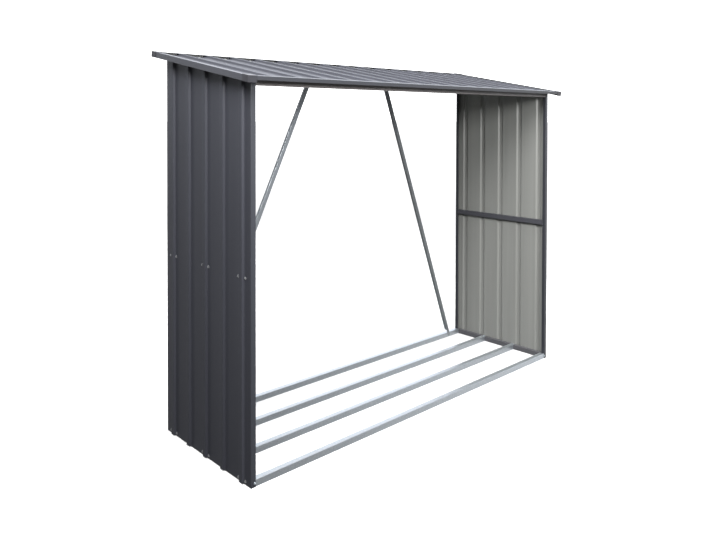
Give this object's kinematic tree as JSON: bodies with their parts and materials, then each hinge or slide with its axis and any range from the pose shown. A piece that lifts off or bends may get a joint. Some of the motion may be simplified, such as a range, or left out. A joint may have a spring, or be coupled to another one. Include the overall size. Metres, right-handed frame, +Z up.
{
  "type": "log store",
  "caption": "Open-fronted log store of ribbed sheet steel, with end walls, a sloping roof, floor rails and diagonal braces across the open back.",
  "frame": {"origin": "on the ground, under the centre of the roof's outline", "axes": "+X along the store to the right as seen from its open front, +Y to the back, +Z up"},
  "size_m": [2.4136, 0.8556, 1.8944],
  "materials": {
    "wall_steel": "polyester-coated anthracite sheet, ribbed",
    "roof_steel": "polyester-coated slate grey sheet, ribbed",
    "frame_steel": "dark coated folded steel",
    "trim_steel": "slate grey coated folded trim",
    "galvanised": "bright zinc-coated folded steel",
    "cap_plastic": "moulded grey plastic"
  },
  "bodies": {
    "root": {"back_floor_rail": "galvanised", "back_middle_floor_rail": "galvanised", "back_roof_trim": "trim_steel", "back_top_rail": "frame_steel", "front_eave_trim": "trim_steel", "front_floor_rail": "galvanised", "front_middle_floor_rail": "galvanised", "front_top_rail": "frame_steel", "left_back_brace": "galvanised", "left_back_cap": "cap_plastic", "left_back_post": "frame_steel", "left_base_rail": "frame_steel", "left_front_cap": "cap_plastic", "left_front_post": "frame_steel", "left_mid_rail": "frame_steel", "left_roof_sheet": "roof_steel", "left_top_rail": "frame_steel", "left_verge_trim": "trim_steel", "left_wall_sheet": "wall_steel", "middle_roof_sheet": "roof_steel", "right_back_brace": "galvanised", "right_back_cap": "cap_plastic", "right_back_post": "frame_steel", "right_base_rail": "frame_steel", "right_front_cap": "cap_plastic", "right_front_post": "frame_steel", "right_mid_rail": "frame_steel", "right_roof_sheet": "roof_steel", "right_top_rail": "frame_steel", "right_verge_trim": "trim_steel", "right_wall_sheet": "wall_steel"}
  },
  "joints": []
}
